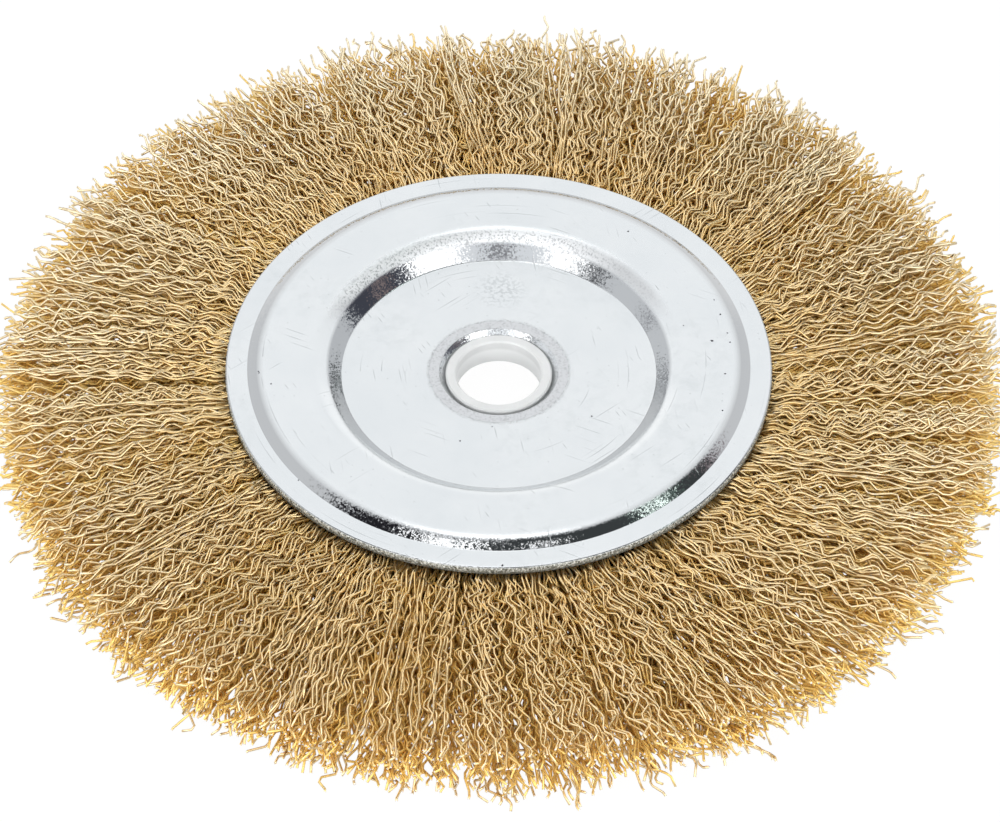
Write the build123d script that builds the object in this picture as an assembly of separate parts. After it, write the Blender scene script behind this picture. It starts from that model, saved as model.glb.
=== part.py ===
"""Crimped wire wheel brush: two pressed side plates clamp a thick ring of crimped wires.

Millimetres. The origin is the centre of the bore, half way through the wheel, and +Z is the spindle axis.
"""
from build123d import *
import math
import os

# Hub and bore
bore_radius = 6.35
bush_wall = 1.62
bush_length = 4.4
bush_end_chamfer = 0.25
bush_fit = 0.03
eyelet_wall = 0.8
eyelet_flange_width = 1.6
eyelet_mouth_round = 0.95
web_under_flange = 0.4

# Side plates: radii and runs of the outer face, from the hub outwards
sheet_thickness = 1.2
web_radius = 23.4
web_slope_run = 3.2
band_width = 9.2
rim_step_run = 1.6
rim_width = 3.25
foot_bend = 0.4
crown_bend = 5.0
rim_roll = 0.3

# Spaces between the two plates: at the webs, at the rims, and how far the bands stand above the rims
web_gap = 2.6
clamp_width = 7.2
band_rise = 0.9

# Retaining ring inside the plates
hoop_wire = 4.0
hoop_clearance = 0.05

# Crimped wire fill
wheel_radius = 75.0
tip_raggedness = 3.4
tip_notch = 2.2
tip_round = 9.0
face_width = 11.2
tip_width = 3.2
wire_tuck = 0.15
lock_count = 108
lock_depth = 1.3
crimp_height = 0.7
crimp_bends = 10

# Heights and radii that follow from the sizes above
web_top = web_gap / 2 + sheet_thickness
rim_top = clamp_width / 2 + sheet_thickness
band_top = rim_top + band_rise
channel_height = clamp_width / 2 + band_rise
band_inner_radius = web_radius + web_slope_run
band_outer_radius = band_inner_radius + band_width
step_foot_radius = band_outer_radius + rim_step_run
plate_radius = step_foot_radius + rim_width
hoop_radius = (band_inner_radius + band_outer_radius) / 2
bush_outer_radius = bore_radius + bush_wall
hub_hole_radius = bush_outer_radius + bush_fit
eyelet_outer_radius = hub_hole_radius + eyelet_wall
eyelet_flange_radius = eyelet_outer_radius + eyelet_flange_width
flange_seat = web_gap / 2 + web_under_flange
face_radius = wheel_radius - tip_round


def turned(profile):
    """One full turn of a profile drawn in the XZ plane about the spindle axis."""
    return revolve(profile, Axis.Z)


def make_front_plate():
    """A round pressing: flat web, raised band with rounded shoulders, and a flat rim set lower."""
    with BuildSketch(Plane.XZ) as section:
        with BuildLine():
            outer_face = FilletPolyline(
                (eyelet_outer_radius, web_top),
                (web_radius, web_top),
                (band_inner_radius, band_top),
                (band_outer_radius, band_top),
                (step_foot_radius, rim_top),
                (plate_radius, rim_top),
                radius=(foot_bend, crown_bend, crown_bend, foot_bend),
            )
            offset(outer_face, amount=sheet_thickness, side=Side.RIGHT, kind=Kind.INTERSECTION)
        make_face()
        rim_corner = section.vertices().sort_by(Axis.X)[-2:].sort_by(Axis.Z)[-1]
        fillet(rim_corner, rim_roll)
    coined_seat = Pos(0, 0, flange_seat) * Cylinder(
        eyelet_flange_radius,
        sheet_thickness,
        align=(Align.CENTER, Align.CENTER, Align.MIN),
    )
    return turned(section.sketch) - coined_seat


def make_hub_eyelet():
    """A short tube flared over the two webs, with a rounded funnel at each mouth."""
    with BuildSketch(Plane.XZ) as section:
        with BuildLine():
            mouth = (hub_hole_radius + eyelet_mouth_round, web_top)
            throat = (hub_hole_radius, web_top - eyelet_mouth_round)
            Polyline(
                throat,
                (hub_hole_radius, 0),
                (eyelet_outer_radius, 0),
                (eyelet_outer_radius, flange_seat),
                (eyelet_flange_radius, flange_seat),
                (eyelet_flange_radius, web_top),
                mouth,
            )
            RadiusArc(mouth, throat, eyelet_mouth_round)
        make_face()
        mirror(about=Plane.XZ)
    return turned(section.sketch)


def make_reducer_bush():
    """A plain moulded bush with all four of its end edges chamfered."""
    body = Cylinder(bush_outer_radius, bush_length) - Cylinder(bore_radius, bush_length)
    end_edges = body.edges().filter_by(GeomType.CIRCLE)
    return chamfer(end_edges, bush_end_chamfer)


def make_retaining_ring():
    """A round steel hoop: every wire is folded round it, so no wire can pull out."""
    return Torus(hoop_radius, hoop_wire / 2)


def make_wire_root():
    """The folded roots of the wires: a bulb round the hoop, squeezed flat between the two rims."""
    bulb = channel_height
    corner = bulb * math.tan(math.radians(22.5))
    step_angle = math.atan2(band_top - rim_top, step_foot_radius - band_outer_radius)
    shoulder_radius = band_outer_radius - crown_bend * math.tan(step_angle / 2)
    neck_radius = step_foot_radius - sheet_thickness * math.tan(step_angle / 2)
    with BuildSketch(Plane.XZ) as section:
        with BuildLine():
            Polyline(
                (hoop_radius - bulb, 0),
                (hoop_radius - bulb, corner),
                (hoop_radius - corner, bulb),
                (shoulder_radius, bulb),
                (neck_radius, clamp_width / 2),
                (plate_radius - wire_tuck, clamp_width / 2),
                (plate_radius - wire_tuck, 0),
                close=True,
            )
        make_face()
        mirror(about=Plane.XZ)
    channel = Torus(hoop_radius, hoop_wire / 2 + hoop_clearance)
    return turned(section.sketch) - channel


def wave(number, rate):
    """A value from 0 to 1 that changes from one lock to the next with no visible repeat."""
    return 0.5 + 0.25 * (math.sin(rate * number) + math.sin(2.7 * rate * number + 1))


def lock_point(number, station):
    """A point on the upper face of the fill: even numbers are crests of a lock, odd ones the valleys between.

    Station 0 is tucked under the rim, station 1 is at the edge of the rim and the last one is at the tips.
    """
    is_valley = number % 2
    reach = max(station - 1, 0) / (crimp_bends - 1)
    shortfall = tip_raggedness * wave(number, 2.4) + tip_notch * is_valley
    free_length = wheel_radius - shortfall - plate_radius
    radius = plate_radius + reach * free_length
    exit_height = clamp_width / 2 - wire_tuck
    face_reach = (face_radius - plate_radius) / (wheel_radius - plate_radius)
    if station == 0:
        radius = plate_radius - rim_width / 2
        height = exit_height
    elif reach < face_reach:
        height = exit_height + (face_width / 2 - exit_height) * math.sin(math.pi / 2 * reach / face_reach)
    else:
        past_face = (reach - face_reach) / (1 - face_reach)
        height = tip_width / 2 + (face_width - tip_width) / 2 * math.sqrt(1 - past_face**2)
    sunk = min(reach / 0.15, 1) * lock_depth * radius / plate_radius
    height = max(height - sunk * (is_valley + 0.25 * wave(number, 1.7)), tip_width / 4)
    sideways = crimp_height * (-1) ** station * min(reach / 0.1, 1)
    angle = math.pi * number / lock_count + sideways / radius
    return Vector(radius * math.cos(angle), radius * math.sin(angle), height)


def flat_face(*corners):
    """One flat face with straight edges."""
    return Face(Wire.make_polygon(corners, close=True))


def make_crimped_locks():
    """The free wires, as locks of wire that zigzag outwards on both faces and end in a ragged edge."""
    upper = []
    for station in range(crimp_bends + 1):
        upper.append([lock_point(number, station) for number in range(2 * lock_count)])
    lower = [[Vector(point.X, point.Y, -point.Z) for point in ring] for ring in upper]
    faces = []
    for number in range(2 * lock_count):
        following = (number + 1) % (2 * lock_count)
        for skin in (upper, lower):
            for station in range(crimp_bends):
                near = skin[station][number]
                far = skin[station + 1][number]
                far_next = skin[station + 1][following]
                near_next = skin[station][following]
                faces.append(flat_face(near, far, far_next))
                faces.append(flat_face(near, far_next, near_next))
        for station in (0, crimp_bends):
            top = upper[station][number]
            top_next = upper[station][following]
            bottom_next = lower[station][following]
            bottom = lower[station][number]
            faces.append(flat_face(top, top_next, bottom_next, bottom))
    return Solid(Shell(faces))


def make_wire_fill():
    """Roots and free wires as one closed ring."""
    return make_wire_root() + make_crimped_locks()


front_plate = make_front_plate()
back_plate = mirror(front_plate, about=Plane.XY)

os.makedirs("parts", exist_ok=True)
export_step(front_plate, "parts/front_plate.step")
export_step(back_plate, "parts/back_plate.step")
export_step(make_hub_eyelet(), "parts/hub_eyelet.step")
export_step(make_reducer_bush(), "parts/reducer_bush.step")
export_step(make_retaining_ring(), "parts/retaining_ring.step")
export_step(make_wire_fill(), "parts/wire_fill.step")
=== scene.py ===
"""Looks of the crimped wire wheel brush: its wires, zinc plates, eyelet and bush, in metres."""
import math

import bpy
import numpy as np
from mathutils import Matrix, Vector


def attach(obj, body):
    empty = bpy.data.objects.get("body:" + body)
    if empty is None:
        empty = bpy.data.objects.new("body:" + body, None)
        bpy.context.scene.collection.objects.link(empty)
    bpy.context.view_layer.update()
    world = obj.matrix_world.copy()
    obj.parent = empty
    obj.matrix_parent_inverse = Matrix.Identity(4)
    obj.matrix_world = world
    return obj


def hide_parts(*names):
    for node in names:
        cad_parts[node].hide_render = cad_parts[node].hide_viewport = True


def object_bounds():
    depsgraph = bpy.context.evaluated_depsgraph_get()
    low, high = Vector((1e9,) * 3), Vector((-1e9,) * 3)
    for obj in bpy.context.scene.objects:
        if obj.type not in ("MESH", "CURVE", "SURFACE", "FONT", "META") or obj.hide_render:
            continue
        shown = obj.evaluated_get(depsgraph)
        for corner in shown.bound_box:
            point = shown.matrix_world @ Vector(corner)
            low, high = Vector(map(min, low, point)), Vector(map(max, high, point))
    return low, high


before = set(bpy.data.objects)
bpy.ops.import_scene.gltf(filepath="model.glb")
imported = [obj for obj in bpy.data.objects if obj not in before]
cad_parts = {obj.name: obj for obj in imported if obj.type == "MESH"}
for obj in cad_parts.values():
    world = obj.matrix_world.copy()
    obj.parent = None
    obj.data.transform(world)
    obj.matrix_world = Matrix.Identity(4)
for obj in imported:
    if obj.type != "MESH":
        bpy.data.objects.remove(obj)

cad_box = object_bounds()
MM = 0.001
rng = np.random.default_rng(7)

# Camera, fitted to the circles of the plate in the photograph
IMAGE_WIDTH = 1000
IMAGE_HEIGHT = 822
CAMERA_DISTANCE = 0.540
CAMERA_ELEVATION = math.radians(46.6)
PIXELS_PER_METRE = 6674
CENTRE_PIXEL = (498.8, 382.6)

# Level of the sky, of which the camera sees plain white
SKY_LEVEL = 1.3

# Wheel sizes, as in the CAD model; a height is counted from the middle of the wheel
REST_HEIGHT = cad_box[0][2]
SHEET = 1.2 * MM
PLATE_RADIUS = 40.65 * MM
CLAMP_HALF_WIDTH = 3.6 * MM
HUB_HOLE_RADIUS = 8.83 * MM
WEB_HEIGHT = 2.5 * MM
BAND_HEIGHT = 5.7 * MM
RIM_HEIGHT = 4.8 * MM
SHARP_BEND = 0.4 * MM
WIDE_BEND = 5.0 * MM
RIM_ROLL = 0.3 * MM
EYELET_RADIUS = 8.8 * MM
EYELET_BORE_RADIUS = 8.0 * MM
FLANGE_RADIUS = 10.4 * MM
FLANGE_SEAT = 1.7 * MM
# The eyelet's cone widens from the bore at this height to this radius at its face
MOUTH_FROM = 1.55 * MM
MOUTH_RADIUS = 8.95 * MM
# Corners of the outer face of a plate: radius, height and the radius of the bend there
PLATE_CORNERS = (
    (FLANGE_RADIUS, WEB_HEIGHT, 0),
    (23.4 * MM, WEB_HEIGHT, SHARP_BEND),
    (26.6 * MM, BAND_HEIGHT, WIDE_BEND),
    (35.8 * MM, BAND_HEIGHT, WIDE_BEND),
    (37.4 * MM, RIM_HEIGHT, SHARP_BEND),
    (PLATE_RADIUS, RIM_HEIGHT, RIM_ROLL),
    (PLATE_RADIUS, CLAMP_HALF_WIDTH, 0),
)
PLATE_SEGMENTS = 320
EYELET_SEGMENTS = 180

# Places on a plate that look different
COLLAR_RADIUS = 10.66 * MM
# The crown of the inner slope, whose far part carries a painted highlight
CROWN_FROM = 25.2 * MM
CROWN_TO = 27.8 * MM
OUTER_STEP_FROM = 30.5 * MM
SCRATCH_RING_RADIUS = 34 * MM

# Wires
WIRE_COUNT = 5600
LEVELS = 16
LOCK_COUNT = 108
WIRE_RADIUS = 0.215 * MM
WIRE_START_RADIUS = 39.0 * MM
TIP_RADIUS = 73.7 * MM
CRIMP_HALF_PITCH = 2.45 * MM
CRIMP_HEIGHT = 0.94 * MM
MOST_BENDS = 24
MEAN_NEST = 3
EXIT_HALF_HEIGHT = 3.1 * MM
FACE_HALF_HEIGHT = 4.85 * MM
NEST_SPACING = 0.55 * MM
# No wire goes higher than a line from the rim's height to the face's, between these radii
HEIGHT_LIMIT_RADII = (41 * MM, 48 * MM)
HEIGHT_LIMITS = (3.35 * MM, 5.42 * MM)
# Lean of the wires against the radius: its mean and its swing round the wheel, in degrees
LEAN = 7.5
LEAN_SWING = 5.5
# Points of one bend: place along the wire in half pitches, and share of the full height
SOFT_BEND = ((-0.17, 0.70), (0.17, 0.70))
PLAIN_BEND = ((0.0, 0.78),)

# Dark specks on the front plate: x and y in millimetres and size
SPECKS = (
    (0.5, -40.1, 0.24), (-35.6, -3.1, 0.16), (-33.6, -5.6, 0.17), (31.8, 3.2, 0.25),
    (34.2, 4.8, 0.15), (34.5, 2.9, 0.16), (33.5, -3.6, 0.18), (32.5, 11.8, 0.15),
    (33.3, 8.7, 0.18), (19.9, 26.6, 0.18), (27.7, 6.4, 0.12), (-28.9, -23.9, 0.14),
    (-5.7, -14.1, 0.17), (-1.0, -11.3, 0.13), (13.7, -9.2, 0.17), (32.8, -11.0, 0.15),
)
SPECK_CORNERS = 9

# Middle of a rubbed spot on the web: x and y in millimetres
RUBBED_SPOT = (0.2, 17.1)

# Unevenness of a plate: waves round the wheel, and waves along the radius in radians per metre
SHEET_WAVES = ((2, 90), (3, 160), (5, 240), (7, 120), (11, 300), (16, 420))

# Shallow dents in a plate: x and y, depth and width, in millimetres
DENTS = (
    (4.9, 39.0, 0.05, 0.7), (-19.0, 11.0, 0.02, 2.2), (12.0, -18.5, 0.025, 1.8),
    (-8.0, -31.5, 0.02, 1.6), (30.5, -8.0, 0.03, 1.2), (-29.0, 17.5, 0.025, 1.5),
    (22.5, 23.0, 0.02, 1.7), (-36.5, -14.5, 0.03, 1.0),
)


def make_camera():
    """A long lens that looks down at the wheel, with its centre where the photograph has it."""
    camera = bpy.data.objects.new("camera", bpy.data.cameras.new("camera"))
    bpy.context.scene.collection.objects.link(camera)
    focal_pixels = PIXELS_PER_METRE * CAMERA_DISTANCE
    camera.data.sensor_fit = 'HORIZONTAL'
    camera.data.sensor_width = 36.0
    camera.data.lens = focal_pixels / IMAGE_WIDTH * camera.data.sensor_width
    camera.data.clip_start = 0.01
    camera.data.clip_end = 20.0
    back = Vector((0, -math.cos(CAMERA_ELEVATION), math.sin(CAMERA_ELEVATION)))
    camera.location = back * CAMERA_DISTANCE
    right = Vector((1, 0, 0))
    up = right.cross(-back)
    across = (CENTRE_PIXEL[0] - IMAGE_WIDTH / 2) / focal_pixels
    down = (CENTRE_PIXEL[1] - IMAGE_HEIGHT / 2) / focal_pixels
    look = -back - right * across + up * down
    camera.rotation_euler = look.to_track_quat('-Z', 'Y').to_euler()
    bpy.context.scene.camera = camera


class NodeTree:
    """A node tree with short ways to add to it; values are numbers or the outputs of other nodes."""

    def __init__(self, owner):
        owner.use_nodes = True
        self.nodes = owner.node_tree.nodes
        self.links = owner.node_tree.links

    def add(self, kind, **settings):
        """One node with its settings; numbers and tuples named in_... go to its sockets."""
        node = self.nodes.new(kind)
        for name, value in settings.items():
            if name.startswith("in_"):
                socket = name[3:].replace("_", " ")
                node.inputs[int(socket) if socket.isdigit() else socket].default_value = value
            else:
                setattr(node, name, value)
        return node

    def link(self, source, socket):
        """Joins an output to an input."""
        self.links.new(source, socket)

    def calculate(self, operation, first, second=None, third=None, clamp=False):
        """The output of one maths node."""
        node = self.add("ShaderNodeMath", operation=operation, use_clamp=clamp)
        for slot, value in enumerate((first, second, third)):
            if value is None:
                continue
            if isinstance(value, (int, float)):
                node.inputs[slot].default_value = value
            else:
                self.link(value, node.inputs[slot])
        return node.outputs[0]

    def product(self, first, second):
        """Two values multiplied."""
        return self.calculate('MULTIPLY', first, second)

    def fade(self, value, start, end):
        """0 at the start value, 1 at the end value and a straight line between."""
        past_start = self.calculate('SUBTRACT', value, start)
        return self.calculate('DIVIDE', past_start, end - start, clamp=True)

    def vector(self, operation, first, **settings):
        """One vector maths node with its first input."""
        node = self.add("ShaderNodeVectorMath", operation=operation, **settings)
        self.link(first, node.inputs[0])
        return node

    def axes(self, vector):
        """The X, Y and Z of a vector."""
        node = self.add("ShaderNodeSeparateXYZ")
        self.link(vector, node.inputs[0])
        return node.outputs

    def mix(self, low, high, amount):
        """A number between two others, by an amount from 0 to 1."""
        mixer = self.add("ShaderNodeMix", data_type='FLOAT', in_B=high)
        if isinstance(low, (int, float)):
            mixer.inputs["A"].default_value = low
        else:
            self.link(low, mixer.inputs["A"])
        self.link(amount, mixer.inputs["Factor"])
        return mixer.outputs["Result"]

    def blend(self, below, colour, amount):
        """Lays a colour over what is below it, by an amount from 0 to 1."""
        mixer = self.add("ShaderNodeMixRGB")
        self.link(amount, mixer.inputs["Fac"])
        for socket, value in (("Color1", below), ("Color2", colour)):
            if isinstance(value, tuple):
                mixer.inputs[socket].default_value = (*value, 1)
            else:
                self.link(value, mixer.inputs[socket])
        return mixer.outputs["Color"]

    def ramp(self, source, low, high, colour_low, colour_high):
        """A colour ramp from one colour to another between two values of a source."""
        ramp = self.add("ShaderNodeValToRGB")
        ramp.color_ramp.elements[0].position = low
        ramp.color_ramp.elements[1].position = high
        ramp.color_ramp.elements[0].color = (*colour_low, 1)
        ramp.color_ramp.elements[1].color = (*colour_high, 1)
        self.link(source, ramp.inputs["Fac"])
        return ramp.outputs["Color"]

    def noise(self, place, scale, detail=3.0, roughness=0.5):
        """The value of a noise texture."""
        texture = self.add("ShaderNodeTexNoise", in_Scale=scale, in_Detail=detail)
        texture.inputs["Roughness"].default_value = roughness
        self.link(place, texture.inputs["Vector"])
        return texture.outputs["Fac"]

    def short_marks(self, place, turn, length, width, share):
        """Short straight marks, all in one direction: 1 on a mark and 0 beside it."""
        turned = self.add("ShaderNodeMapping", in_Rotation=(0, 0, math.radians(turn)))
        stretched = self.add("ShaderNodeMapping", in_Scale=(1 / length, 1 / width, 0))
        self.link(place, turned.inputs["Vector"])
        self.link(turned.outputs["Vector"], stretched.inputs["Vector"])
        cells = self.add("ShaderNodeTexVoronoi", voronoi_dimensions='2D', in_Scale=1.0)
        self.link(stretched.outputs["Vector"], cells.inputs["Vector"])
        near = self.fade(cells.outputs["Distance"], 0.09, 0.04)
        cell = self.axes(cells.outputs["Color"])
        chosen = self.calculate('GREATER_THAN', cell["X"], 1 - share)
        return self.product(self.product(near, cell["Y"]), chosen)

    def grainy_bump(self, place, crystal_scale, crystal_tip, relief, distance):
        """A bump over a normal that each small crystal of the metal tips another way."""
        crystals = self.add("ShaderNodeTexVoronoi", in_Scale=crystal_scale)
        self.link(place, crystals.inputs["Vector"])
        centred = self.vector('SUBTRACT', crystals.outputs["Color"], in_1=(0.5, 0.5, 0.5))
        tipped = self.vector('SCALE', centred.outputs["Vector"])
        self.link(crystal_tip, tipped.inputs["Scale"])
        total = self.vector('ADD', self.add("ShaderNodeNewGeometry").outputs["Normal"])
        self.link(tipped.outputs["Vector"], total.inputs[1])
        unit = self.vector('NORMALIZE', total.outputs["Vector"])
        bump = self.add("ShaderNodeBump", in_Strength=1.0, in_Distance=distance)
        self.link(unit.outputs["Vector"], bump.inputs["Normal"])
        self.link(relief, bump.inputs["Height"])
        return bump.outputs[0]


def new_material(name):
    """A material with its node tree and its Principled shader."""
    material = bpy.data.materials.new(name)
    tree = NodeTree(material)
    return material, tree, tree.nodes["Principled BSDF"]


def wire_material():
    """Drawn steel wire with a thin brass coat, pale straw; the deeper gold of wires inside the brush is
    painted bounce light, and the paler outer and far wires are painted light.
    """
    material, tree, shader = new_material("brass_wire")
    place = tree.add("ShaderNodeTexCoord").outputs["Object"]
    tint = tree.add("ShaderNodeAttribute", attribute_name="tint").outputs["Fac"]
    depth = tree.add("ShaderNodeAttribute", attribute_name="depth").outputs["Fac"]
    patches = tree.product(tree.noise(place, 90.0), 0.5)
    mixed = tree.calculate('ADD', patches, tint)
    colour = tree.ramp(mixed, 0.2, 1.2, (0.87, 0.61, 0.26), (0.97, 0.76, 0.43))
    # Painted light: the outer wires, the far ones most, are made paler to stand in for the brighter light on
    # them
    painted_outer_light = tree.fade(tree.vector('LENGTH', place).outputs["Value"], 44 * MM, 66 * MM)
    split = tree.axes(place)
    painted_far_light = tree.fade(split["Y"], -55 * MM, 60 * MM)
    pale = tree.blend((1.0, 0.80, 0.48), (1.0, 0.89, 0.66), painted_far_light)
    colour = tree.blend(colour, pale, tree.product(painted_outer_light, 0.85))
    # Painted light: wires deep in the brush get a saturated amber, and less metal, standing in for light
    # bounced many times between the wires
    inside = tree.fade(depth, 0.15, 0.55)
    colour = tree.blend(colour, (1.0, 0.70, 0.22), inside)
    bare = tree.fade(tree.noise(place, 1400.0, 2.0), 0.62, 0.70)
    colour = tree.blend(colour, (0.80, 0.76, 0.70), tree.product(bare, 0.6))
    tree.link(colour, shader.inputs["Base Color"])
    tree.link(tree.calculate('MULTIPLY_ADD', inside, -0.45, 0.95), shader.inputs["Metallic"])
    tree.link(tree.calculate('MULTIPLY_ADD', tint, 0.1, 0.29), shader.inputs["Roughness"])
    return material


def cut_end_material():
    """The bare steel of a cut wire end, sheared and matt."""
    material, tree, shader = new_material("cut_end")
    place = tree.add("ShaderNodeTexCoord").outputs["Object"]
    grain = tree.noise(place, 4000.0, 2.0)
    colour = tree.ramp(grain, 0.3, 0.7, (0.55, 0.54, 0.56), (0.74, 0.73, 0.75))
    tree.link(colour, shader.inputs["Base Color"])
    shader.inputs["Metallic"].default_value = 0.1
    shader.inputs["Roughness"].default_value = 0.5
    return material


def zinc_flats(tree, place, spot, mottle):
    """Colour of the satin flats: faint stains, clouds and one rubbed spot."""
    stains = tree.noise(place, 70.0, 6.0, 0.65)
    colour = tree.ramp(stains, 0.35, 0.65, (0.635, 0.66, 0.675), (0.672, 0.692, 0.703))
    cloudy = tree.fade(tree.noise(place, 55.0, 2.0), 0.50, 0.66)
    clouding = tree.product(tree.fade(mottle, 0.46, 0.66), cloudy)
    colour = tree.blend(colour, (0.50, 0.53, 0.54), tree.product(clouding, 0.28))
    aside_x = tree.calculate('SUBTRACT', spot["X"], RUBBED_SPOT[0] * MM)
    aside_y = tree.calculate('SUBTRACT', spot["Y"], RUBBED_SPOT[1] * MM)
    rubbed = tree.fade(distance_from(tree, aside_x, aside_y), 4.6 * MM, 1.5 * MM)
    rubbed = tree.product(rubbed, tree.fade(tree.noise(place, 1900.0), 0.46, 0.6))
    return tree.blend(colour, (0.44, 0.465, 0.475), tree.product(rubbed, 0.55))


def distance_from(tree, x, y):
    """Distance from the place where both values are 0."""
    return tree.calculate('SQRT', tree.calculate('MULTIPLY_ADD', y, y, tree.product(x, x)))


def zinc_marks(tree, place, spot, radius):
    """Fine scratches in several directions and round the wheel, and small pits."""
    rings = tree.add("ShaderNodeCombineXYZ")
    around = tree.calculate('ARCTAN2', spot["Y"], spot["X"])
    tree.link(tree.product(around, SCRATCH_RING_RADIUS), rings.inputs["X"])
    tree.link(radius, rings.inputs["Y"])
    marks = None
    for vector, turn, length, width, share in (
        (place, 25, 26 * MM, 1.3 * MM, 0.35),
        (place, 80, 18 * MM, 1.2 * MM, 0.35),
        (place, 140, 34 * MM, 1.3 * MM, 0.35),
        (rings.outputs[0], 0, 70 * MM, 1.1 * MM, 0.55),
        (place, 60, 9 * MM, 1.0 * MM, 0.25),
        (place, 0, 1.5 * MM, 1.5 * MM, 0.25),
    ):
        layer = tree.short_marks(vector, turn, length, width, share)
        marks = layer if marks is None else tree.calculate('MAXIMUM', marks, layer)
    worn = tree.fade(tree.noise(place, 150.0, 3.0), 0.38, 0.56)
    return tree.product(marks, worn)


def crown_highlight_colour(tree, spot, dots):
    """Painted highlight where the far slope meets the band: a bright reflection with grey dots, brighter
    towards the far side.
    """
    leaning = tree.calculate('MULTIPLY_ADD', spot["X"], -0.35, spot["Y"])
    stretched = tree.fade(leaning, 12 * MM, 22 * MM)
    bright = tree.blend((0.60, 0.61, 0.62), (0.92, 0.93, 0.94), stretched)
    return tree.blend((0.52, 0.53, 0.54), bright, tree.fade(dots, 0.38, 0.50))


def sheared_colour(tree, place, spot):
    """Colour of the sheared edge of the sheet: torn grey steel, darker towards the wires."""
    upright = tree.add("ShaderNodeMapping", in_Scale=(1, 1, 0.7))
    tree.link(place, upright.inputs["Vector"])
    tears = tree.noise(upright.outputs["Vector"], 3700.0, 3.0, 0.7)
    colour = tree.ramp(tears, 0.42, 0.62, (0.07, 0.07, 0.055), (0.64, 0.65, 0.61))
    low = tree.calculate('MULTIPLY_ADD', tears, 0.9 * MM, tree.calculate('ABSOLUTE', spot["Z"]))
    low = tree.fade(low, 4.75 * MM, 4.35 * MM)
    return tree.blend(colour, (0.05, 0.05, 0.04), tree.product(low, 0.75))


def zinc_material():
    """Zinc-plated sheet: pale satin flats with scratches, mirror-bright drawn steps with a darker base that
    is painted shade, a painted highlight on the far crown, and a grey edge.
    """
    material, tree, shader = new_material("zinc_plate")
    coordinates = tree.add("ShaderNodeTexCoord")
    place = coordinates.outputs["Object"]
    spot = tree.axes(place)
    radius = distance_from(tree, spot["X"], spot["Y"])

    # Where the sheet is drawn, polished, coined and sheared, and where the far crown has a painted highlight
    steepness = tree.calculate('ABSOLUTE', tree.axes(coordinates.outputs["Normal"])["Z"])
    outer_step = tree.fade(radius, OUTER_STEP_FROM, OUTER_STEP_FROM + 0.5 * MM)
    drawn = tree.product(tree.fade(steepness, 0.997, 0.95), outer_step)
    drawn = tree.calculate('MAXIMUM', drawn, tree.fade(steepness, 0.82, 0.74))
    polished = tree.product(outer_step, tree.fade(spot["X"], 0, 7 * MM))
    # Painted highlight: the far part of the crown gets a bright painted reflection
    crown = tree.fade(radius, CROWN_FROM, CROWN_FROM + 0.5 * MM)
    crown = tree.product(crown, tree.fade(radius, CROWN_TO, CROWN_TO - 1.2 * MM))
    crown = tree.product(crown, tree.fade(spot["Y"], 8 * MM, 14 * MM))
    teeth = tree.calculate('SUBTRACT', tree.noise(place, 6500.0, 1.0, 0.5), 0.5)
    ragged_radius = tree.calculate('ADD', radius, tree.product(teeth, 2.2 * MM))
    collar = tree.fade(ragged_radius, COLLAR_RADIUS, COLLAR_RADIUS - 0.16 * MM)
    sheared = tree.fade(radius, PLATE_RADIUS - 0.16 * MM, PLATE_RADIUS - 0.03 * MM)

    mottle = tree.noise(place, 420.0, 6.0, 0.7)
    dots = tree.noise(place, 3000.0, 2.0, 0.6)
    marks = zinc_marks(tree, place, spot, radius)
    colour = zinc_flats(tree, place, spot, mottle)
    colour = tree.blend(colour, (0.38, 0.40, 0.41), tree.product(marks, 0.7))
    collar_colour = tree.ramp(dots, 0.42, 0.60, (0.36, 0.37, 0.38), (0.52, 0.53, 0.54))
    colour = tree.blend(colour, collar_colour, collar)
    # Painted shade: the drawn steps get a darker grey base that stands in for the darker reflections they
    # show
    colour = tree.blend(colour, (0.42, 0.43, 0.44), drawn)
    colour = tree.blend(colour, crown_highlight_colour(tree, spot, dots), crown)
    colour = tree.blend(colour, sheared_colour(tree, place, spot), sheared)
    tree.link(colour, shader.inputs["Base Color"])

    roughness = tree.calculate('MULTIPLY_ADD', mottle, 0.12, 0.18)
    for amount, level in ((drawn, 0.05), (crown, 0.48), (collar, 0.42), (sheared, 0.55)):
        roughness = tree.mix(roughness, level, amount)
    tree.link(roughness, shader.inputs["Roughness"])
    tree.link(tree.calculate('SUBTRACT', 1.0, sheared), shader.inputs["Metallic"])

    crystal_tip = tree.product(drawn, tree.calculate('MULTIPLY_ADD', polished, -0.045, 0.11))
    grain = tree.product(tree.noise(place, 4600.0, 2.0, 0.6), 0.5)
    relief = tree.calculate('MULTIPLY_ADD', marks, -0.8, grain)
    tree.link(tree.grainy_bump(place, 5200.0, crystal_tip, relief, 0.015 * MM), shader.inputs["Normal"])
    return material


def dull_steel_material():
    """The coined eyelet: a matt grey flange and a bright grainy mouth."""
    material, tree, shader = new_material("dull_steel")
    coordinates = tree.add("ShaderNodeTexCoord")
    place = coordinates.outputs["Object"]
    steepness = tree.calculate('ABSOLUTE', tree.axes(coordinates.outputs["Normal"])["Z"])
    drawn = tree.fade(steepness, 0.84, 0.76)
    grain = tree.noise(place, 3200.0, 3.0)
    dots = tree.noise(place, 3000.0, 2.0, 0.6)
    colour = tree.ramp(dots, 0.34, 0.52, (0.46, 0.47, 0.48), (0.59, 0.60, 0.615))
    colour = tree.blend(colour, (0.58, 0.595, 0.605), drawn)
    tree.link(colour, shader.inputs["Base Color"])
    shader.inputs["Metallic"].default_value = 1.0
    tree.link(tree.mix(0.42, 0.16, drawn), shader.inputs["Roughness"])
    bump = tree.grainy_bump(place, 6000.0, tree.product(drawn, 0.20), grain, 0.006 * MM)
    tree.link(bump, shader.inputs["Normal"])
    return material


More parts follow.
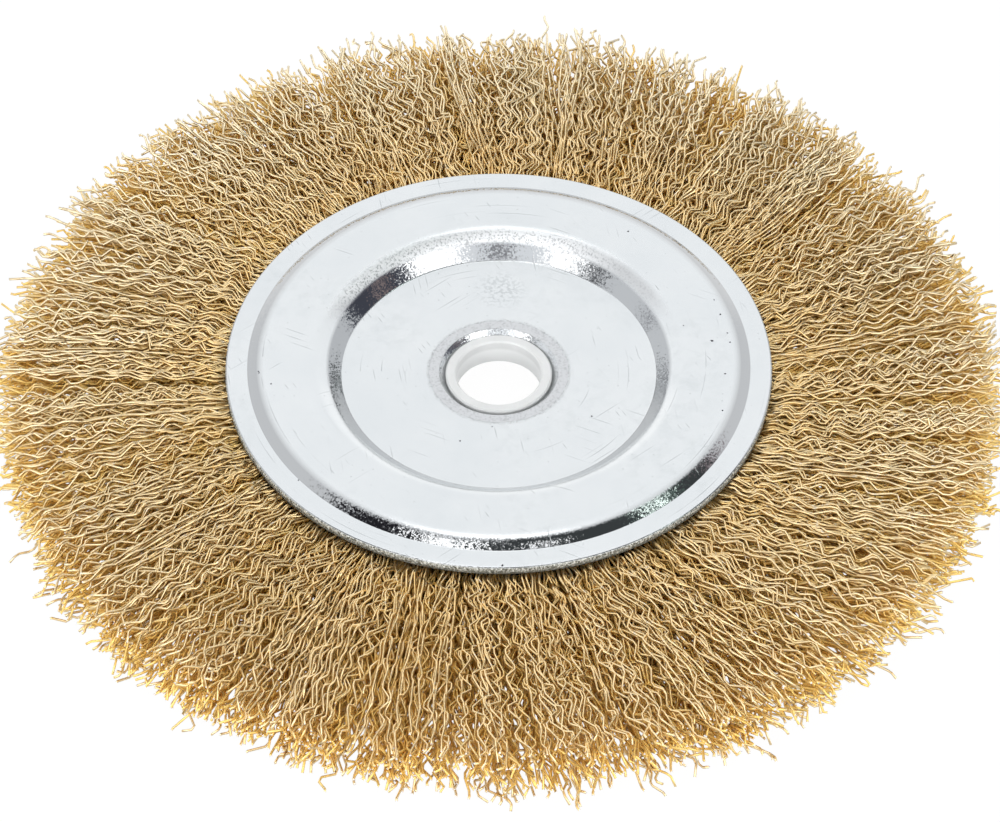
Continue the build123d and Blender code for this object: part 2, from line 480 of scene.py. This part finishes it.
def plastic_material():
    """Milky moulded plastic, lighter below a height of about 0.4 to 0.9 mm: painted shade on its upper band
    for a small step in the bore that is not modelled.
    """
    material, tree, shader = new_material("milky_plastic")
    place = tree.add("ShaderNodeTexCoord").outputs["Object"]
    cloud = tree.noise(place, 300.0, 3.0)
    colour = tree.ramp(cloud, 0.35, 0.65, (0.65, 0.655, 0.65), (0.69, 0.695, 0.69))
    split = tree.axes(place)
    # Painted shade: the upper band stays darker than the lower bore, standing in for the shading of a step
    # that is not modelled
    painted_lower_light = tree.fade(split["Z"], 0.9 * MM, 0.4 * MM)
    colour = tree.blend(colour, (0.80, 0.805, 0.80), painted_lower_light)
    tree.link(colour, shader.inputs["Base Color"])
    shader.inputs["Roughness"].default_value = 0.38
    shader.inputs["Subsurface Weight"].default_value = 0.3
    shader.inputs["Subsurface Radius"].default_value = (0.002, 0.002, 0.002)
    return material


def speck_material():
    """A burnt-looking dark speck of dirt in the plating."""
    material, tree, shader = new_material("speck")
    place = tree.add("ShaderNodeTexCoord").outputs["Object"]
    cloud = tree.noise(place, 5000.0)
    colour = tree.ramp(cloud, 0.4, 0.6, (0.02, 0.02, 0.03), (0.10, 0.10, 0.11))
    tree.link(colour, shader.inputs["Base Color"])
    shader.inputs["Roughness"].default_value = 0.6
    return material


def make_floor():
    """A white table top under the wheel, which the camera sees as plain white with a faint shadow."""
    bpy.ops.mesh.primitive_plane_add(size=8.0, location=(0, 0, REST_HEIGHT))
    floor = bpy.context.object
    floor.name = "floor"
    material = bpy.data.materials.new("floor")
    tree = NodeTree(material)
    tree.nodes.clear()
    output = tree.add("ShaderNodeOutputMaterial")
    diffuse = tree.add("ShaderNodeBsdfDiffuse", in_Color=(0.86, 0.86, 0.86, 1))
    white = tree.add("ShaderNodeEmission", in_Color=(1, 1, 1, 1), in_Strength=1.02)
    shaded_white = tree.add("ShaderNodeMixShader", in_Fac=0.95)
    path = tree.add("ShaderNodeLightPath")
    seen_ray = tree.calculate('MAXIMUM', path.outputs["Is Camera Ray"], path.outputs["Is Glossy Ray"])
    by_ray = tree.add("ShaderNodeMixShader")
    tree.link(diffuse.outputs[0], shaded_white.inputs[1])
    tree.link(white.outputs[0], shaded_white.inputs[2])
    tree.link(seen_ray, by_ray.inputs["Fac"])
    tree.link(diffuse.outputs[0], by_ray.inputs[1])
    tree.link(shaded_white.outputs[0], by_ray.inputs[2])
    tree.link(by_ray.outputs[0], output.inputs["Surface"])
    floor.data.materials.append(material)


def make_world():
    """A pale studio with dark corners and soft boxes, given by what each facing of bright metal shows.

    The sky at a direction is looked up by the normal that would mirror it to the camera: the tilt of
    that normal from upright, and the side it leans to, from the camera's side and positive to the right.
    Each patch is a colour, then in degrees: side from, side to, tilt from, tilt to, soft edge in side,
    soft edge in tilt. A two-sided patch is the same left and right, and later patches lie over earlier ones.
    """
    world = bpy.data.worlds.new("studio")
    bpy.context.scene.world = world
    tree = NodeTree(world)
    tree.nodes.clear()
    output = tree.add("ShaderNodeOutputWorld")
    background = tree.add("ShaderNodeBackground")
    place = tree.add("ShaderNodeTexCoord")
    to_camera = (0, -math.cos(CAMERA_ELEVATION), math.sin(CAMERA_ELEVATION))
    halfway = tree.vector('ADD', place.outputs["Generated"], in_1=to_camera)
    facing = tree.axes(tree.vector('NORMALIZE', halfway.outputs["Vector"]).outputs["Vector"])
    forward = tree.product(facing["Y"], -1.0)
    side = tree.calculate('DEGREES', tree.calculate('ARCTAN2', facing["X"], forward))
    either_side = tree.calculate('ABSOLUTE', side)
    tilt = tree.calculate('DEGREES', tree.calculate('ARCCOSINE', facing["Z"]))

    def patch(around, side_from, side_to, tilt_from, tilt_to, soft_side, soft_tilt):
        """1 inside a patch and 0 outside, with soft edges."""
        inside = tree.fade(around, side_from, side_from + soft_side)
        inside = tree.product(inside, tree.fade(around, side_to, side_to - soft_side))
        inside = tree.product(inside, tree.fade(tilt, tilt_from, tilt_from + soft_tilt))
        return tree.product(inside, tree.fade(tilt, tilt_to, tilt_to - soft_tilt))

    two_sided = (
        ((1.06, 1.06, 1.06), 100, 195, 12, 42, 10, 6),
        ((1.15, 1.34, 1.29), 92, 145, 40, 50, 5, 3),
        ((1.45, 1.50, 1.50), 138, 195, 41, 50, 5, 3),
        ((2.8, 2.8, 2.8), -10, 80, 54, 80, 6, 5),
    )
    one_sided = (
        # Facings of the outer step
        ((0.07, 0.078, 0.08), -7, 60, 16, 38, 2, 3),
        ((0.32, 0.26, 0.275), 56, 62, 17, 37, 2, 3),
        ((0.19, 0.27, 0.23), 33.5, 46, 16, 35, 3, 4),
        ((3.5, 3.9, 3.65), 37, 40.5, 15, 36, 1.5, 3),
        ((2.1, 2.1, 2.1), 8, 13, 24, 36, 1.5, 3),
        ((0.025, 0.025, 0.03), -43, -16, 16, 37, 6, 4),
        ((2.2, 2.2, 2.2), -19.5, -5, 20, 38, 3, 3),
        ((2.4, 2.4, 2.4), -26, 20, 9, 16.5, 8, 3),
        # Facings of the inner slope
        ((0.90, 0.92, 0.94), -116, -34, 36, 56, 4, 4),
        ((0.80, 0.82, 0.84), 60, 116, 36, 56, 4, 4),
        ((1.17, 1.20, 1.23), -18, 14, 38.5, 60, 4, 2),
        ((2.3, 2.3, 2.3), 12, 36, 38.5, 60, 4, 2),
        ((2.3, 2.3, 2.3), -32, -15, 38.5, 60, 5, 2),
        ((0.085, 0.09, 0.115), 33, 68, 33, 60, 4, 5),
        ((0.38, 0.30, 0.29), 43.5, 49.5, 38, 52, 2, 3),
        ((0.10, 0.10, 0.11), -42, -33, 30, 60, 4, 4),
        ((0.36, 0.36, 0.38), -5, 4.5, 38.5, 54, 3, 3),
        ((0.44, 0.45, 0.47), -70, -62, 40, 50, 3, 3),
    )
    sky = (0.93, 0.94, 0.95)
    for colour, *edges in two_sided:
        sky = tree.blend(sky, colour, patch(either_side, *edges))
    for colour, *edges in one_sided:
        sky = tree.blend(sky, colour, patch(side, *edges))
    path = tree.add("ShaderNodeLightPath")
    seen_white = (1 / SKY_LEVEL, 1 / SKY_LEVEL, 1 / SKY_LEVEL)
    sky = tree.blend(sky, seen_white, path.outputs["Is Camera Ray"])
    background.inputs["Strength"].default_value = SKY_LEVEL
    tree.link(sky, background.inputs["Color"])
    tree.link(background.outputs[0], output.inputs["Surface"])


def nest_crimp():
    """The uneven bends that the wires of one nest share: their pitch, places, reaches and turns."""
    return {
        "phase": rng.uniform(0, 2),
        "half_pitch": CRIMP_HALF_PITCH * rng.normal(1, 0.09),
        "places": rng.normal(0, 0.13, MOST_BENDS),
        "reaches": rng.normal(1, 0.24, MOST_BENDS),
        "turns": (
            rng.uniform(-math.pi / 2, math.pi / 2)
            + np.cumsum(rng.normal(0, math.radians(12), MOST_BENDS))
        ),
    }


def crimped_path(start_angle, level, drift, tip_radius, crimp, bend_shape):
    """Points of one wire, from under the rim to its tip: an uneven zigzag with softened bends."""
    half_pitch = crimp["half_pitch"] * rng.normal(1, 0.02)
    bends = np.arange(min(MOST_BENDS, int((tip_radius - WIRE_START_RADIUS) / half_pitch) + 4))
    count = len(bends)
    places = crimp["phase"] + rng.normal(0, 0.1) + crimp["places"][:count] + rng.normal(0, 0.07, count)
    bend_radii = WIRE_START_RADIUS + (bends - 1.5 + places) * half_pitch
    reaches = np.where(bends % 2, 1.0, -1.0) * (crimp["reaches"][:count] + rng.normal(0, 0.12, count))
    turns = crimp["turns"][:count] + rng.normal(0, math.radians(12))
    shape = np.array(bend_shape)
    radii = (bend_radii[:, None] + shape[:, 0] * half_pitch).ravel()
    waves = (reaches[:, None] * shape[:, 1]).ravel() * CRIMP_HEIGHT
    turns = np.repeat(turns, len(shape))
    # The ends are cut where the wire happens to be in its wave
    keep = (radii > WIRE_START_RADIUS + 0.1 * MM) & (radii < tip_radius - 0.1 * MM)
    cut = np.concatenate(([WIRE_START_RADIUS], radii[keep], [tip_radius]))
    waves = np.interp(cut, radii, waves)
    turns = np.interp(cut, radii, turns)
    radii = cut
    free = np.clip((radii - PLATE_RADIUS) / (TIP_RADIUS - PLATE_RADIUS), 0, 1.2)
    waves = waves * (0.4 + 0.6 * np.clip(free / 0.08, 0, 1))
    hook = np.clip((free - 0.82) / 0.18, 0, 1.5) ** 2
    wander = rng.normal(0, 0.4 * MM) * np.sin(free * rng.uniform(3, 8) + rng.uniform(0, 6.3))
    wander = wander * np.clip(free * 4, 0, 1)
    sideways = drift * free**1.3 + wander + hook * rng.normal(0, 0.45 * MM) + waves * np.cos(turns)
    flare = np.sin(np.clip(free * 1.4, 0, 1) * math.pi / 2)
    half_height = EXIT_HALF_HEIGHT + (FACE_HALF_HEIGHT - EXIT_HALF_HEIGHT) * flare
    height = level * half_height + waves * np.sin(turns)
    height = height + hook * rng.normal(0, 0.3 * MM)
    limit = np.interp(radii, HEIGHT_LIMIT_RADII, HEIGHT_LIMITS)
    height = np.clip(height, -limit, limit)
    angle = start_angle + sideways / radii
    return np.stack((radii * np.cos(angle), radii * np.sin(angle), height), axis=1)


def tube_rings(path, radius):
    """Three points round each point of a path, in planes that follow the path."""
    ahead = np.gradient(path, axis=0)
    ahead /= np.linalg.norm(ahead, axis=1)[:, None]
    upward = np.array((0.0, 0.0, 1.0))
    side = np.cross(ahead, upward)
    side /= np.linalg.norm(side, axis=1)[:, None] + 1e-12
    over = np.cross(side, ahead)
    rings = []
    for turn in (90, 210, 330):
        angle = math.radians(turn)
        rings.append(path + radius * (math.cos(angle) * side + math.sin(angle) * over))
    return np.stack(rings, axis=1)


def build_tubes(name, paths, tints, materials):
    """One mesh of many wires: three-sided tubes with smooth sides and flat cut ends."""
    points = []
    quads = []
    ends = []
    tint_values = []
    depth_values = []
    first = 0
    for path, tint in zip(paths, tints):
        rings = tube_rings(path, WIRE_RADIUS)
        count = len(path)
        points.append(rings.reshape(-1, 3))
        start = first + 3 * np.arange(count - 1)
        for side in range(3):
            following = (side + 1) % 3
            near = (start + side, start + following)
            quads.append(np.stack((*near, near[1] + 3, near[0] + 3), axis=1))
        last = first + 3 * (count - 1)
        ends.append((first + 2, first + 1, first))
        ends.append((last, last + 1, last + 2))
        tint_values.append(np.full(3 * count, tint))
        radii = np.hypot(path[:, 0], path[:, 1])
        half_height = np.interp(radii, (PLATE_RADIUS, 60 * MM), (EXIT_HALF_HEIGHT, FACE_HALF_HEIGHT))
        depth_values.append(np.repeat(1 - np.abs(path[:, 2]) / half_height, 3))
        first += 3 * count
    points = np.concatenate(points)
    quads = np.concatenate(quads)
    ends = np.array(ends)
    mesh = bpy.data.meshes.new(name)
    mesh.vertices.add(len(points))
    mesh.vertices.foreach_set("co", points.astype(np.float32).ravel())
    mesh.loops.add(quads.size + ends.size)
    corners = np.concatenate((quads.ravel(), ends.ravel()))
    mesh.loops.foreach_set("vertex_index", corners.astype(np.int32))
    mesh.polygons.add(len(quads) + len(ends))
    quad_starts = 4 * np.arange(len(quads))
    end_starts = quads.size + 3 * np.arange(len(ends))
    starts = np.concatenate((quad_starts, end_starts))
    mesh.polygons.foreach_set("loop_start", starts.astype(np.int32))
    slots = np.concatenate((np.zeros(len(quads)), np.ones(len(ends)))).astype(np.int32)
    mesh.polygons.foreach_set("material_index", slots)
    mesh.polygons.foreach_set("use_smooth", slots == 0)
    for attribute, values in (("tint", tint_values), ("depth", depth_values)):
        layer = mesh.attributes.new(attribute, 'FLOAT', 'POINT')
        layer.data.foreach_set("value", np.concatenate(values).astype(np.float32))
    mesh.update()
    mesh.validate()
    for material in materials:
        mesh.materials.append(material)
    piece = bpy.data.objects.new(name, mesh)
    bpy.context.scene.collection.objects.link(piece)
    return piece


def sway(angle):
    """How far the tips near an angle lie to one side: the lean of all wires and their locks."""
    lean = math.tan(math.radians(LEAN + LEAN_SWING * math.cos(angle))) * (TIP_RADIUS - PLATE_RADIUS)
    small_lock = LOCK_COUNT * angle + 1.6 * math.sin(5 * angle) + 1.3 * math.sin(11 * angle + 2)
    broad_lock = 36 * angle + 1.6 * math.sin(5 * angle + 1)
    middle_lock = 61 * angle + 2.0 * math.sin(3 * angle)
    locks = 1.2 * math.sin(broad_lock) + 0.7 * math.sin(middle_lock) - 0.5 * math.sin(small_lock)
    return lean + locks * MM


def make_wires():
    """All wires, in small nests side by side; each level of nests is spread evenly round the wheel."""
    paths = []
    heights = []
    tints = []
    nests_per_level = WIRE_COUNT // (LEVELS * MEAN_NEST)
    for level_number in range(LEVELS):
        level_start = rng.uniform(0, 2 * math.pi)
        for nest_number in range(nests_per_level):
            turn_share = (nest_number + rng.uniform(-0.45, 0.45)) / nests_per_level
            nest_angle = level_start + 2 * math.pi * turn_share
            nest_level = 2 * (level_number + rng.uniform(0.1, 0.9)) / LEVELS - 1
            crimp = nest_crimp()
            nest_tip = TIP_RADIUS + rng.normal(0, 0.8 * MM)
            nest_drift = rng.normal(0, 0.9 * MM) + sway(nest_angle)
            if rng.random() < 0.12:
                nest_drift += rng.normal(0, 3.0 * MM)
            nest = int(rng.integers(1, 2 * MEAN_NEST))
            for member in range(nest):
                spread = (member - (nest - 1) / 2) * NEST_SPACING
                level = float(np.clip(nest_level + rng.normal(0, 0.05), -1, 1))
                tip_radius = nest_tip + rng.normal(0, 0.8 * MM)
                chance = rng.random()
                if chance < 0.05:
                    tip_radius += rng.uniform(0.5, 4.0) * MM
                elif chance > 0.80:
                    tip_radius -= rng.uniform(1.0, 11.0) * MM
                paths.append(crimped_path(
                    nest_angle + (spread + rng.normal(0, 0.1 * MM)) / PLATE_RADIUS,
                    level,
                    nest_drift + spread * 0.7 + rng.normal(0, 0.5 * MM),
                    tip_radius,
                    crimp,
                    SOFT_BEND if abs(level) > 0.38 else PLAIN_BEND,
                ))
                heights.append(level)
                tints.append(rng.uniform(0, 1))
    order = np.argsort(heights)
    layer_names = (
        "wires_back_face", "wires_back_side", "wires_back_core",
        "wires_front_core", "wires_front_side", "wires_front_face",
    )
    materials = (wire_material(), cut_end_material())
    for name, members in zip(layer_names, np.array_split(order, len(layer_names))):
        member_paths = [paths[member] for member in members]
        layer = build_tubes(name, member_paths, [tints[member] for member in members], materials)
        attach(layer, "root")
        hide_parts("wire_fill")
        triangles = sum(len(face.vertices) - 2 for face in layer.data.polygons)
        print(name, len(members), "wires", triangles, "triangles")


def rounded(corners):
    """A profile with its corners rounded; each corner is a radius, a height and its bend's radius."""
    points = []
    for number, (radius, height, bend) in enumerate(corners):
        corner = np.array((radius, height))
        if bend == 0:
            points.append(corner)
            continue
        back = np.array(corners[number - 1][:2]) - corner
        ahead = np.array(corners[number + 1][:2]) - corner
        back /= np.linalg.norm(back)
        ahead /= np.linalg.norm(ahead)
        half = math.acos(float(np.clip(back @ ahead, -1, 1))) / 2
        middle = (back + ahead) / np.linalg.norm(back + ahead)
        centre = corner + middle * bend / math.sin(half)
        start = corner + back * bend / math.tan(half) - centre
        end = corner + ahead * bend / math.tan(half) - centre
        steps = 6 if bend < MM else 14
        swing = math.pi - 2 * half
        for step in range(steps + 1):
            share = step / steps
            arm = math.sin((1 - share) * swing) * start + math.sin(share * swing) * end
            points.append(centre + arm / math.sin(swing))
    return points


def inner_corners():
    """Corners of the inner face of a plate: the outer corners moved in by the thickness of the sheet."""
    outer = [np.array(corner[:2]) for corner in PLATE_CORNERS[:6]]
    normals = []
    for start, end in zip(outer, outer[1:]):
        along = (end - start) / np.linalg.norm(end - start)
        normals.append(np.array((along[1], -along[0])))
    corners = [(PLATE_RADIUS, CLAMP_HALF_WIDTH, 0)]
    for number in range(len(outer) - 2, 0, -1):
        before, after = normals[number - 1], normals[number]
        middle = (before + after) / (1 + before @ after)
        moved = outer[number] + SHEET * middle
        bend = PLATE_CORNERS[number][2]
        rising = before[0] < after[0]
        corners.append((moved[0], moved[1], bend + SHEET if rising else bend - SHEET))
    corners.append((HUB_HOLE_RADIUS, WEB_HEIGHT - SHEET, 0))
    return corners


def subdivided(points, longest):
    """The same profile with its long straight runs divided."""
    result = [points[0]]
    for start, end in zip(points, points[1:]):
        pieces = max(1, math.ceil(np.linalg.norm(end - start) / longest))
        for piece in range(1, pieces + 1):
            result.append(start + (end - start) * piece / pieces)
    return result


def make_eyelet(material):
    """The eyelet as a turned mesh: two flanges, a tube and a cone with rounded edges at each mouth."""
    upper = rounded((
        (EYELET_BORE_RADIUS, 0, 0),
        (EYELET_BORE_RADIUS, MOUTH_FROM, 0.1 * MM),
        (MOUTH_RADIUS, WEB_HEIGHT, 0.25 * MM),
        (FLANGE_RADIUS, WEB_HEIGHT, 0),
        (FLANGE_RADIUS, FLANGE_SEAT, 0),
        (EYELET_RADIUS, FLANGE_SEAT, 0),
    ))
    lower = [point * (1, -1) for point in reversed(upper[1:])]
    profile = np.array(upper + lower)
    angles = 2 * math.pi * np.arange(EYELET_SEGMENTS) / EYELET_SEGMENTS
    x = np.cos(angles)[:, None] * profile[None, :, 0]
    y = np.sin(angles)[:, None] * profile[None, :, 0]
    height = np.repeat(profile[None, :, 1], EYELET_SEGMENTS, axis=0)
    eyelet = turned_mesh("eyelet", np.stack((x, y, height), axis=2), material, flip=True)
    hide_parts("hub_eyelet")


def turned_mesh(name, grid, material, flip=False):
    """A closed mesh from a grid of points: a closed profile for each angle round the axis."""
    across = grid.shape[1]
    ring = np.arange(len(grid))[:, None] * across
    next_ring = np.roll(ring, -1, axis=0)
    column = np.arange(across)[None, :]
    next_column = (column + 1) % across
    near = (ring + column, next_ring + column)
    far = (next_ring + next_column, ring + next_column)
    quads = np.stack((*near, *far), axis=2).reshape(-1, 4)
    if flip:
        quads = quads[:, ::-1]
    mesh = bpy.data.meshes.new(name)
    mesh.from_pydata(grid.reshape(-1, 3).tolist(), [], quads.tolist())
    mesh.materials.append(material)
    mesh.shade_smooth()
    mesh.set_sharp_from_angle(angle=math.radians(50))
    piece = bpy.data.objects.new(name, mesh)
    bpy.context.scene.collection.objects.link(piece)
    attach(piece, "root")
    return piece


def make_plate(name, node, side, material):
    """One pressed plate as a turned mesh, with the unevenness of thin sheet and a few small dents."""
    outer = subdivided(rounded(PLATE_CORNERS), 1.2 * MM)
    inner = subdivided(rounded(inner_corners()), 4 * MM)[1:]
    seat = [np.array((HUB_HOLE_RADIUS, FLANGE_SEAT)), np.array((FLANGE_RADIUS, FLANGE_SEAT))]
    profile = np.array(outer + inner + seat)
    angles = 2 * math.pi * np.arange(PLATE_SEGMENTS) / PLATE_SEGMENTS
    radius = np.repeat(profile[None, :, 0], PLATE_SEGMENTS, axis=0)
    height = np.repeat(profile[None, :, 1], PLATE_SEGMENTS, axis=0)
    angle = np.repeat(angles[:, None], len(profile), axis=1)
    phase = rng.uniform(0, 6.28, 6)
    outside = (np.arange(len(profile)) < len(outer))[None, :] & (radius < PLATE_RADIUS - 0.35 * MM)
    uneven = np.zeros_like(radius)
    for number, (turns, waves) in enumerate(SHEET_WAVES):
        uneven += np.sin(turns * angle + waves * radius + phase[number]) / (number + 2)
    height = height + np.where(outside, uneven * 0.006 * MM, 0)
    x = radius * np.cos(angle)
    y = radius * np.sin(angle)
    for dent_x, dent_y, depth, width in DENTS:
        distance = np.hypot(x - dent_x * MM, y - dent_y * side * MM) / (width * MM)
        height = height - np.where(outside, depth * MM * np.exp(-distance**2), 0)
    edge = np.abs(radius - PLATE_RADIUS) < 0.02 * MM
    x = x + np.where(edge, rng.normal(0, 0.012 * MM, x.shape) * np.cos(angle), 0)
    y = y + np.where(edge, rng.normal(0, 0.012 * MM, y.shape) * np.sin(angle), 0)
    plate = turned_mesh(name, np.stack((x, y, height * side), axis=2), material, flip=side > 0)
    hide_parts(node)


def plate_height(radius):
    """Height of the outer face of the front plate at a radius."""
    corners = np.array([corner[:2] for corner in PLATE_CORNERS[:6]])
    return float(np.interp(radius, corners[:, 0], corners[:, 1]))


def make_specks():
    """Small dark specks in the plating of the front plate, each a thin uneven flake."""
    points = []
    faces = []
    for x, y, size in SPECKS:
        height = plate_height(math.hypot(x, y) * MM) + 0.015 * MM
        first = len(points)
        for corner in range(SPECK_CORNERS):
            reach = size * MM * rng.uniform(0.55, 1.1)
            turn = 2 * math.pi * corner / SPECK_CORNERS
            points.append((x * MM + reach * math.cos(turn), y * MM + reach * math.sin(turn), height))
        points.append((x * MM, y * MM, height + 0.02 * MM))
        for corner in range(SPECK_CORNERS):
            following = (corner + 1) % SPECK_CORNERS
            faces.append((first + corner, first + following, first + SPECK_CORNERS))
    mesh = bpy.data.meshes.new("specks")
    mesh.from_pydata(points, [], faces)
    mesh.materials.append(speck_material())
    specks = bpy.data.objects.new("specks", mesh)
    bpy.context.scene.collection.objects.link(specks)
    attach(specks, "root")


def dress_cad_nodes(steel):
    """Finishes for the hoop and the bush, which are the CAD model's own meshes."""
    finishes = {"retaining_ring": steel, "reducer_bush": plastic_material()}
    for node, material in finishes.items():
        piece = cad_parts[node]
        piece.data.materials.clear()
        piece.data.materials.append(material)


make_camera()
make_floor()
make_world()
make_wires()
zinc = zinc_material()
make_plate("plate_front", "front_plate", 1, zinc)
make_plate("plate_back", "back_plate", -1, zinc)
make_specks()
steel = dull_steel_material()
make_eyelet(steel)
dress_cad_nodes(steel)
bpy.context.scene.view_settings.view_transform = 'Standard'
